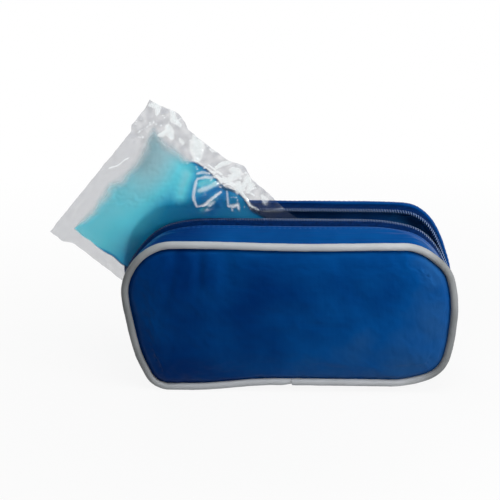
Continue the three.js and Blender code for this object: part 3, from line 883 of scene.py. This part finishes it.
def make_tapes():
    for where, end in {"front": "left", "back": "right"}.items():
        section = strip_section(where, np.linspace(4.2, 8, 22))
        piece = thin_layer(f"{where}_tape", "zip_tape", arch, section, sides[where], tape_depth, tape_thick)
        register(piece, "zip_tape", f"{where}_zip_tape", f"{end}_tape_end", flap=where)


# The side band round the bottom, and its lining. Its section starts like that of a closed strip.
flat_half_width = 8


def band_section(line):
    half = np.vstack([strip_rows(np.zeros(1), "front")[0, :4], (flat_half_width, side_bulge)])
    controls = np.vstack([half, (0, side_bulge), half[::-1] * (-1, 1)])
    return spline(np.tile(controls, (len(line["x"]), 1, 1)), np.linspace(0, 10, 57))


def make_band():
    section = band_section(cradle)
    base = section_points(cradle, section, 0, 1)
    from_seam = np.abs(np.abs(section[..., 0]) - strip_edge_y - hidden_width)
    below = -cradle["above"][:, None] - band_start
    crumple = lumps(base, (12, 31, 0.5, (1, 0.5, 1)), (5, 32, 0.15))
    grounded = smooth((base[..., 2] - 1) / 8)
    quiet = smooth(from_seam / 5) * smooth(below / 5)
    hem = 0.9 * (1 - smooth((below - 5) / 3)) - 0.5 * bell(below, 0.7)
    depth = -(crumple * grounded - 0.3 * (1 - grounded)) * quiet - hem
    outer = section_points(cradle, section, depth, 1)
    outer[..., 2] = np.maximum(outer[..., 2], 0)
    inner = section_points(cradle, section, mix(1.0, foam_end, smooth(from_seam / 4)), 1)
    piece = layer("side_band", "coated_fabric", outer, inner)
    register(piece, "coated_fabric", "side_band_fabric", "side_band_foam", fill=0.4)
    piece = thin_layer("band_inner_lining", "lining", cradle, section, 1, lining_depth, lining_thick)
    register(piece, "lining", "side_band_lining")


# The zip teeth: a nylon coil sewn along the lip of each tape.
coil_depth = tape_depth + tape_thick / 2
coil_half_width = coil_width * 0.62
coil_half_thick = coil_thick * 0.36
coil_inset = coil_width * 0.55
coil_wire = 0.3
locked_half_width = 1.25
coil_end = 15.5
points_per_turn = 10


def coil_axis(where, line):
    """Middle of the coil and its two section directions, along a stretch of the outline."""
    side = sides[where]
    section = spline(strip_rows(line["opened"], where), np.array([7.0, 7.5, 8.0]))
    middle = section_points(line, section, coil_depth, side)
    toward = unit(middle[:, 2] - middle[:, 0])
    along = unit(np.gradient(middle[:, 2], axis=0))
    return middle[:, 2], toward, unit(np.cross(along, toward))


def helix(middle, toward, outward, half_width, phase=0):
    """A wire wound round an axis that bends with the lip."""
    run = run_of(middle)
    turns = max(1, round(run[-1] / coil_pitch))
    places = np.linspace(0, run[-1], turns * points_per_turn + 1)
    centre, a, b = at_places(places, run, middle, toward, outward)
    a, b = unit(a), unit(b)
    angle = (places / run[-1] * turns * 2 * math.pi + phase)[:, None]
    radial = a * np.cos(angle) + b * np.sin(angle)
    path = centre + a * np.cos(angle) * half_width + b * np.sin(angle) * coil_half_thick
    tangent = unit(np.gradient(path, axis=0))
    normal = unit(radial - tangent * (radial * tangent).sum(axis=1, keepdims=True))
    return tube_mesh(path, (normal, np.cross(tangent, normal)), np.full(len(path), coil_wire), 6)


open_from = seam["run"][np.argmax(seam["above"] > -chain_start)]
open_line = part_of(seam, (seam["above"] > -coil_end) & (seam["run"] > open_from))


def make_teeth():
    for where in sides:
        middle, toward, outward = coil_axis(where, open_line)
        middle = middle - toward * coil_inset
        piece = solid(f"{where}_teeth", "zip_teeth", *helix(middle, toward, outward, coil_half_width))
        nodes = (f"{where}_zip_teeth", f"left_end_teeth_{where}", f"right_end_teeth_{where}")
        register(piece, "zip_teeth", *nodes, flap=where)
    joined_run = (seam["above"] > -chain_end - 1.5) & (seam["above"] < -chain_start + 0.5)
    closed = part_of(seam, joined_run & (seam["x"] > 0))
    still = 0 * closed["x"]
    rows = []
    for side in sides.values():
        y = still[:, None] + side * chain_half_width / 2
        middle = outline_points(closed, y, side_bulge - coil_depth)[:, 0]
        toward = np.tile([0.0, -side, 0.0], (len(still), 1))
        outward = np.stack([closed["nx"], still, closed["nz"]], axis=1)
        rows.append(helix(middle, toward, outward, locked_half_width, 0 if side < 0 else math.pi))
    register(solid("locked_teeth", "zip_teeth", *joined(rows)), "zip_teeth", "closed_teeth")


# Small metal parts.
def softened(name, body, radius):
    """A copy of a rigid CAD node with its edges rounded, in its place."""
    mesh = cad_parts[name].data.copy()
    work = bmesh.new()
    work.from_mesh(mesh)
    bmesh.ops.remove_doubles(work, verts=work.verts, dist=2 * weld_distance)
    flat, least = math.radians(2), math.radians(28)
    bmesh.ops.dissolve_limit(work, angle_limit=flat, verts=work.verts, edges=work.edges)
    sharp = [edge for edge in work.edges if edge.is_manifold and edge.calc_face_angle(0) > least]
    bmesh.ops.bevel(
        work, geom=sharp, offset=radius * MM, segments=2, affect="EDGES", profile=0.6, clamp_overlap=True,
    )
    bmesh.ops.triangulate(work, faces=[face for face in work.faces if len(face.verts) > 4])
    work.to_mesh(mesh)
    work.free()
    mesh.shade_smooth()
    mesh.set_sharp_from_angle(angle=math.radians(40))
    register(put(f"{name}_metal", mesh, looks["zip_metal"]), "zip_metal", name, body=body)


def rounded_box(half, radius):
    """Points and faces of a box with round edges, from its half sizes, round its middle."""
    work = bmesh.new()
    bmesh.ops.create_cube(work, size=2)
    for vertex in work.verts:
        vertex.co = Vector(np.array(vertex.co) * half)
    bmesh.ops.bevel(work, geom=list(work.edges), offset=radius, segments=3, affect="EDGES", profile=0.6)
    work.verts.ensure_lookup_table()
    points = np.array([vertex.co for vertex in work.verts])
    faces = [[vertex.index for vertex in face.verts] for face in work.faces]
    work.free()
    return points, faces


# The top stops clamp round the coil.
stop_half_thick = 1.05
stop_half_width = 1.45


def make_stops():
    for where in sides:
        low, high = box_of(f"{where}_top_stop")
        points, faces = rounded_box((stop_half_thick, stop_half_width, (high - low)[2] / 2), 0.4)
        middle, toward, outward = coil_axis(where, open_line)
        at = np.linalg.norm(middle - (low + high) / 2, axis=1).argmin()
        axes = np.stack([outward[at], toward[at], np.cross(outward[at], toward[at])])
        centre = middle[at] - toward[at] * coil_inset
        piece = solid(f"{where}_stop", "zip_metal", centre + points @ axes, faces)
        register(piece, "zip_metal", f"{where}_top_stop", flap=where)
    low, high = box_of("bottom_stop")
    points, faces = rounded_box((high - low) / 2, 0.35)
    register(solid("lower_stop", "zip_metal", (low + high) / 2 + points, faces), "zip_metal", "bottom_stop")


# End tabs: a folded piece of fabric over each end of the zip.
tab_half_length = 6
tab_reach = 9.5
tab_edge = 0.9
tab_crown = 0.75
tab_sunk = 0.2
tab_seam_shares = (0.18, 0.82, 0.12, 0.88)


def make_tab_stitches(name, line, grid):
    """A rectangle of stitches on a tab, on the grid of its outer face."""
    fine = refined(grid, 4)
    low, high, left, right = (
        round(share * size) for share, size in zip(tab_seam_shares, np.repeat(fine.shape[:2], 2))
    )
    edges = (
        fine[low:high, left], fine[high, left:right], fine[high:low:-1, right], fine[low, right:left:-1],
    )
    outward = unit(np.stack([line["nx"].mean(), 0, line["nz"].mean()]))
    rows = [stitch_row(edge, np.tile(outward, (len(edge), 1))) for edge in edges]
    register(solid(f"{name}_tab_stitches", "thread", *joined(rows)), "coated_fabric")


def make_tabs():
    for name, side in {"left": -1, "right": 1}.items():
        low, high = box_of(f"{name}_end_tab")
        near = np.abs(seam["z"] - (low[2] + high[2]) / 2) < tab_half_length
        line = part_of(seam, near & (seam["x"] * side > 0))
        u = np.linspace(-1, 1, 19)[None]
        t = np.linspace(-1, 1, len(line["x"]))[:, None]
        round_off = (1 - np.abs(u) ** 6) * (1 - np.abs(t) ** 6)
        top = side_bulge + tab_edge + tab_crown * round_off ** 0.35
        ys = u * tab_reach + 0 * t
        outer, inner = (outline_points(line, ys, off) for off in (top, side_bulge - tab_sunk + 0 * top))
        register(layer(f"{name}_tab", "coated_fabric", outer, inner), "coated_fabric", f"{name}_end_tab")
        make_tab_stitches(name, line, outer)


# The gel ice pack.
pack_width = 104
pack_length = 145
pack_tilt = math.radians(39)
pack_foot_x = -35.4
pack_half_thick = 4.9
pack_rim = 8
pack_shoulder = 28
pack_corner = 6
film_thick = 0.2
weld_half_gap = 0.15
pack_across = np.array([math.sin(pack_tilt), 0, math.cos(pack_tilt)])
pack_down = np.array([math.cos(pack_tilt), 0, -math.sin(pack_tilt)])
pack_low_z = box_of("pack_film_front")[0][2]
foot_z = pack_low_z - pack_corner * (1 - math.sqrt(0.5)) * (pack_across[2] - pack_down[2])
pack_start = np.array([pack_foot_x, 0, foot_z]) - pack_length * pack_down


def pack_place(across, down, y=0):
    points = pack_start + across[..., None] * pack_across + down[..., None] * pack_down
    points[..., 1] = y
    return points


def from_side(across):
    return np.minimum(across, pack_width - across)


def from_end(down):
    return np.minimum(down, pack_length - down)


def pillow(across, down):
    """Share of the pack's full thickness, from none at its rim."""
    near_side, near_end = from_side(across) - pack_rim, from_end(down) - pack_rim
    return smooth(near_side / pack_shoulder) * smooth(near_end / pack_shoulder)


def pack_grid(rows, columns):
    """Distances across and down the pack on a grid of its whole length and width."""
    return np.meshgrid(np.linspace(0, pack_width, rows), np.linspace(0, pack_length, columns), indexing="ij")


def free_of_case(points, start=14, run=24):
    """1 where the pack stands clear above the mouth, 0 inside the case."""
    return smooth((points[..., 2] - case_height - start) / run)


def drawn_in(across, down):
    """The pack's places with its start, low side and high side drawn in, less and less further inside."""
    nicks = lumps(pack_place(across, down), (6, 81, 0.35), (2.6, 82, 0.3))
    start = 3.9 - 2 * smooth((across - 81) / 4) - 1.3 * smooth((across - 98) / 6) + nicks
    low = 3.1 * smooth((down - 12) / 9) + nicks + 0.3
    high = 1.6 * smooth((down - 88) / 12) - 4 * bell(down - 19, 9) - 3.3 * bell(down - 69, 6) + nicks * 1.3
    from_high = pack_width - across
    new_across = across + low * smooth(1 - across / 16) - high * smooth(1 - from_high / 14)
    return new_across, down + start * smooth(1 - down / 16)


# Folds of the film: points as distances across and down the pack, height, half width and the strength of the
# painted glint along the fold.
folds = (
    (((85, 52), (82, 53), (78, 55), (75, 57), (73, 59), (71, 63)), 0.8, 0.8, 0.75),
    (((87, 50), (89, 52), (91, 56)), 0.5, 0.7, 0.6),
    (((85, 53), (88, 55), (91, 60)), 0.6, 0.7, 0.85),
    (((80, 57), (84, 60), (88, 63), (91, 64)), 0.9, 1.4, 0.5),
    (((71, 63), (74, 65), (79, 66), (84, 67), (87, 68)), 0.7, 0.75, 0.85),
    (((70, 68), (74, 69), (78, 68), (82, 68)), 0.9, 1.6, 0.45),
    (((68, 66), (69, 69), (71, 69)), 0.6, 1.2, 0.9),
    (((89, 71), (86, 74), (83, 77)), 0.4, 0.6, 0.5),
    (((83, 77), (85, 80), (87, 81), (84, 85)), 0.6, 0.8, 0.75),
    (((84, 79), (82, 81), (82, 83)), 0.4, 0.7, 0.6),
    (((92, 60), (93, 65), (94, 70), (94, 75), (93, 82), (91, 87), (92, 93)), 0.5, 0.7, 0.8),
    (((100, 65), (99, 69), (96, 68)), 0.7, 1.8, 0.8),
    (((96, 77), (102, 76), (101, 80), (97, 81)), 0.8, 1.4, 0.9),
    (((95, 44), (100, 40), (105, 36)), 1.2, 3.2, 1.0),
    (((97, 57), (101, 59), (104, 62)), 0.6, 1.1, 0.9),
    (((92, 96), (97, 101), (103, 104)), 0.7, 1.3, 0.9),
    (((101, 2), (104, 6), (99, 9)), 0.6, 1.3, 0.8),
    (((105, 14), (100, 19), (101, 24)), 0.6, 1.2, 0.8),
    (((96, 19), (94, 25)), 0.7, 1.5, 1.0),
    (((91, 18), (95, 21)), 0.5, 1.0, 1.0),
    (((0, 11), (5, 13), (10, 15), (5, 19)), 1.0, 1.5, 1.0),
    (((0, 45), (5, 47), (9, 46)), 0.4, 0.7, 0.35),
    (((55, 4), (60, 9), (68, 12)), 0.5, 0.8, 0.25),
)


def near_line(across, down, line):
    """Distance from each point of the pack to a broken line, and how far along it, from 0 to 1."""
    at = np.stack([across, down], axis=-1)
    best = np.full(across.shape, np.inf)
    along = np.zeros(across.shape)
    for number, (a, b) in enumerate(zip(line[:-1], line[1:])):
        a, b = np.array(a, float), np.array(b, float)
        t = np.clip((at - a) @ (b - a) / ((b - a) @ (b - a)), 0, 1)
        gap = np.linalg.norm(at - a - t[..., None] * (b - a), axis=-1)
        along = np.where(gap < best, (number + t) / (len(line) - 1), along)
        best = np.minimum(best, gap)
    return best, along


facet_size = 6.5
facet_height = 0.9
fold_shares = {"front": 1, "back": 0.25}


def crinkled(across, down):
    """How strongly the film crinkles at each place: most along the high side and at its corners."""
    high = smooth((across - 84) / 8)
    corner = smooth((across - 70) / 14) * smooth((24 - down) / 10)
    edges = np.maximum(smooth((11 - across) / 5), smooth((11 - down) / 5)) * 0.25
    fan = bell(across - 80, 13) * bell(down - 62, 14) * 0.45
    return np.clip(np.maximum(np.maximum(high, corner), np.maximum(edges, fan)), 0, 1)


def facet_field(across, down, size, seed):
    """Height of flat facets with sharp borders, as crinkled film has them, and painted glints on some facets
    and borders.
    """
    height = np.zeros(across.size)
    glint_paint = np.zeros(across.size)
    stretched = np.stack([across / size, down / size * 0.8, np.full(across.shape, 3.7 * seed)], axis=-1)
    for k, place_at in enumerate(stretched.reshape(-1, 3).tolist()):
        distances, spots = noise.voronoi(place_at)
        border = distances[1] - distances[0]
        turn = 2 * math.pi * noise.cell(spots[0] * 7.3)
        tilt = (place_at[0] - spots[0].x) * math.cos(turn) + (place_at[1] - spots[0].y) * math.sin(turn)
        flat = smooth(border / 0.35)
        height[k] = tilt * flat + 0.35 * (1 - flat)
        # Painted glints: some facets are painted white according to how they tilt, and so are some facet
        # borders.
        painted_shine = smooth((noise.cell(spots[0] * 13.1 + Vector((5, 5, 5))) - 0.45) / 0.4)
        edge = 0.7 * (1 - smooth(border / 0.1)) * smooth((noise.cell(spots[0] * 3.7) - 0.35) / 0.3)
        glint_paint[k] = max(painted_shine * smooth(0.5 + 1.4 * tilt) * smooth(border / 0.5), edge)
    return height.reshape(across.shape), glint_paint.reshape(across.shape)


def fold_field(across, down):
    """Height of the film's folds and crinkles, and their painted glints."""
    wobble = waves(pack_place(across, down), 5, 61)
    amount = crinkled(across, down)
    height, glint_paint = facet_field(across + wobble * 0.6, down + wobble * 0.6, facet_size, 1)
    height = height * facet_height * amount
    glint_paint = glint_paint * smooth((amount - 0.3) / 0.5) * mix(0.3, 0.8, smooth((down - 30) / 20))
    for line, rise, width, painted_shine in folds:
        gap, along = near_line(across + wobble * 0.6, down - wobble * 0.6, line)
        ends = 0.6 + 0.4 * np.sin(np.clip(along, 0.02, 0.98) * math.pi)
        height += rise * bell(gap, width * 1.6) * ends
        glint_paint = np.maximum(glint_paint, painted_shine * bell(gap, width * ends) * (0.75 + 0.25 * wobble))
    return height, glint_paint


def refined(grid, steps):
    """A grid of points with each of its cells cut into steps along both axes."""
    rows, columns = (np.linspace(0, size - 1, (size - 1) * steps + 1) for size in grid.shape[:2])
    return spline(spline(grid, columns).transpose(1, 0, 2), rows).transpose(1, 0, 2)


pack_cell = 1.5
pouch_pressure = 0.12
pouch_growth = 0.006
pouch_most = 3.5


def pouch_sheets():
    """Front and back sheets of the pack, welded round the rim and crumpled above the mouth."""
    across, down = pack_grid(round(pack_width / pack_cell) + 1, round(pack_length / pack_cell) + 1)
    flat = pack_place(across, down)
    free = free_of_case(flat)
    shared = free * lumps(flat, (34, 41, 1.8), (13, 42, 0.7))
    bulge = (pack_half_thick - weld_half_gap) * pillow(across, down)
    chamber = np.minimum(from_side(across), from_end(down)).reshape(-1) > pack_rim
    shape = drawn_in(across, down)
    front, back = (pack_place(*shape, side * bulge + shared).reshape(-1, 3) for side in (-1, 1))
    count = len(front)
    back_at = np.arange(count)
    back_at[chamber] = count + np.arange(chamber.sum())
    cells = quads(numbered(*across.shape))
    double = chamber[cells].any(axis=1)
    faces = cells[:, ::-1].tolist() + back_at[cells[double]].tolist()
    points = np.concatenate([front, back[chamber]])
    pressed = np.concatenate([chamber, chamber[chamber]])
    held = free.reshape(-1) <= 0
    held = np.concatenate([held, held[chamber]])
    solved = blown(points, faces, held, pressed, pouch_pressure, pouch_growth, pouch_most)
    sheets = {"front": solved[:count], "back": solved[back_at]}
    return {where: refined(sheet.reshape(*across.shape, 3), 2) for where, sheet in sheets.items()}


def set_values(piece, **fields):
    """Stores values for the look, one for each point of a sheet, on both faces of a piece."""
    for name, values in fields.items():
        attribute = piece.data.attributes.new(name, "FLOAT", "POINT")
        attribute.data.foreach_set("value", np.tile(values.reshape(-1), 2).astype(np.float32))


def make_films(sheets):
    across, down = pack_grid(*sheets["front"].shape[:2])
    rise, glint_paint = fold_field(across, down)
    over_gel = gel_fields(across, down)[2]
    dull = smooth((across - 50) / 30) * smooth((40 - down) / 25)
    speckle = np.clip(waves(pack_place(across, down), 4, 91), -0.8, 1)
    haze = mix(1 + 0.5 * speckle * crinkled(across, down), mix(0.12, 0.75, dull), smooth(over_gel))
    for where, side in sides.items():
        film = sheets[where]
        share = fold_shares[where]
        above = free_of_case(film, start=9, run=6)
        fine = waves(film, 5, 71 + side) * 0.22 * free_of_case(film)
        out = weld_half_gap + fine + share * rise * above
        near = film + out[..., None] * (0, side, 0)
        far_side = near + (0, side * film_thick, 0)
        piece = layer(f"pack_{where}_film", "clear_film", far_side, near, weld=False)
        # The painted glints are stored with the film, at full strength on the front and faint on the back.
        set_values(piece, crease=glint_paint * share * above, haze=haze)
        register(piece, "clear_film", f"pack_film_{where}", body="gel_pack")


gel_inset = 12.5
gel_shoulder = 10
gel_edge_half = 0.04
gel_spill = 1.5
film_room = 0.3

# Where folds of the film press the gel thin or let it run thick: points, half width, change of depth.
gel_streaks = (
    (((83, 56), (86, 58), (88, 61)), 2.2, -0.45),
    (((79, 58), (84, 61), (88, 63)), 1.4, -0.25),
    (((75, 61), (79, 63), (84, 64), (90, 67), (92, 72)), 1.4, 0.12),
    (((71, 66), (76, 68), (81, 68)), 1.4, -0.3),
    (((74, 72), (79, 72), (84, 71), (87, 71)), 2.4, 0.08),
    (((69, 52), (72, 50), (82, 46)), 4, -0.3),
)


def gel_fields(across, down):
    """Distance inside the gel's ragged outline, how deep its blue is, and how solid it looks."""
    ragged = lumps(pack_place(across, down), (20, 51, 3.5), (8, 52, 1.6), (3.5, 53, 0.7))
    inside = np.minimum(
        np.minimum(across + 2, pack_width - across), np.minimum(down - 1, pack_length - down),
    ) - gel_inset + ragged
    pale = smooth((across - 42) / 34) * smooth((46 - down) / 22)
    # The blue deepens toward the mouth, partly for the print there and partly as painted shade from the
    # case.
    deep = 0.3 + 0.42 * smooth((down - 30) / 32) - 0.3 * pale
    low_side = smooth((22 - across) / 8) * smooth((down - 26) / 12)
    sharp_rim = smooth((across - 80) / 8) * smooth((down - 38) / 8) + low_side
    deep = deep + 0.5 * (1 - smooth(inside / 2.6)) * np.minimum(sharp_rim, 1)
    for line, width, change in gel_streaks:
        deep = deep + change * bell(near_line(across, down, line)[0], width)
    fade = mix(9, 1.2, np.minimum(sharp_rim + smooth((22 - across) / 10), 1))
    return inside, deep, 0.9 * smooth((inside + 0.5) / fade)


def make_gel(sheets):
    front, back = sheets["front"], sheets["back"]
    inside, deep, solidity = gel_fields(*pack_grid(*front.shape[:2]))
    half = (back[..., 1] - front[..., 1]) / 2
    shoulder = np.sqrt(np.clip(inside / gel_shoulder, 0, 1))
    filled = np.clip(half - film_room, 0.05, None) * shoulder + gel_edge_half
    keep = (inside > -gel_spill).reshape(-1)
    cells = quads(numbered(*front.shape[:2]))
    cells = cells[keep[cells].all(axis=1)]
    used = np.unique(cells)
    cells = np.searchsorted(used, cells)
    count = len(used)
    edges = np.concatenate([cells[:, [k, (k + 1) % 4]] for k in range(4)])
    known = set(map(tuple, edges.tolist()))
    borders = sorted((a, b) for a, b in known if (b, a) not in known)
    faces = cells.tolist() + (cells[:, ::-1] + count).tolist()
    faces += [[b, a, a + count, b + count] for a, b in borders]
    middle = (front + back) / 2
    points = np.concatenate([
        (middle + filled[..., None] * (0, side, 0)).reshape(-1, 3)[used] for side in (-1, 1)
    ])
    piece = solid("pack_gel_body", "blue_gel", points, faces, 80, weld=False)
    set_values(piece, depth=deep.reshape(-1)[used], thin=solidity.reshape(-1)[used])
    register(piece, "blue_gel", "pack_gel", body="gel_pack", fill=0.5)


# Stage: floor, light and camera.
floor_half = 3.0


def make_stage():
    corners = [(x * floor_half, y * floor_half, 0) for x, y in ((-1, -1), (1, -1), (1, 1), (-1, 1))]
    mesh = bpy.data.meshes.new("floor")
    mesh.from_pydata(corners, [], [(0, 1, 2, 3)])
    look = Look("floor", (0.6, 0.6, 0.6), 0.9, 0)
    glow = look.add("Emission", {"Color": (1, 1, 1, 1), "Strength": 1}).outputs[0]
    away = look.add("VectorMath", {0: look.place()}, operation="LENGTH").outputs["Value"]
    share = look.times(look.seen_rays(), look.scaled(away, 0.12, 0.5, 0.91, 1.0))
    blended = look.add("MixShader", {0: share, 1: look.shader.outputs["BSDF"], 2: glow})
    look.tree.links.new(blended.outputs[0], look.tree.nodes["Material Output"].inputs["Surface"])
    put("floor", mesh, look.material)


def make_world():
    world = bpy.data.worlds.new("studio")
    bpy.context.scene.world = world
    world.use_nodes = True
    nodes = Nodes(world.node_tree)
    back = nodes.tree.nodes["Background"].inputs
    back["Color"].default_value = (1, 1, 1, 1)
    nodes.tree.links.new(nodes.scaled(nodes.seen_rays(), 0, 1, 0.12, 1.0), back["Strength"])


# Lamps: place, what they point at, size and power.
lamps = {
    "main": ((0.3, -0.2, 0.2), (0.03, 0, 0.06), 0.16, 0.8),
    "top": ((0.1, -0.3, 0.85), (0, 0, 0.08), 0.5, 4.6),
    "back": ((-0.35, 0.5, 0.35), (0, 0, 0.08), 0.4, 1.6),
}


def make_lamps():
    for name, (spot, aim, size, power) in lamps.items():
        data = bpy.data.lights.new(name, "AREA")
        data.size = size
        data.energy = power
        lamp = put(name, data)
        lamp.location = spot
        lamp.rotation_euler = (Vector(aim) - Vector(spot)).to_track_quat("-Z", "Y").to_euler()


# The camera: 22 degrees above the case, whose middle lies right of and below the picture's.
picture_size = 500
focal_pixels = 1336
camera_distance = 0.8
camera_elevation = math.radians(22)
target = Vector((0, -0.027, 0.0468))
target_pixel = (290, 319.6)


def make_camera():
    data = bpy.data.cameras.new("camera")
    data.sensor_width = 36
    data.lens = data.sensor_width * focal_pixels / picture_size
    data.clip_start = 0.05
    camera = put("camera", data)
    back = Vector((0, -math.cos(camera_elevation), math.sin(camera_elevation)))
    camera.location = target + camera_distance * back
    yaw, drop = (math.atan((pixel - picture_size / 2) / focal_pixels) for pixel in target_pixel)
    camera.rotation_euler = (math.pi / 2 - camera_elevation + drop, 0, yaw)
    bpy.context.scene.camera = camera


make_panels()
make_piping()
make_strips()
make_strip_linings()
make_tapes()
make_band()
make_teeth()
make_stops()
softened("slider_body", "zip_slider", 0.16)
softened("pull_tab", "zip_pull", 0.22)
make_tabs()
make_hem_stitches()
pouch = pouch_sheets()
make_films(pouch)
make_gel(pouch)
make_stage()
make_world()
make_lamps()
make_camera()
bpy.context.scene.view_settings.view_transform = "Standard"
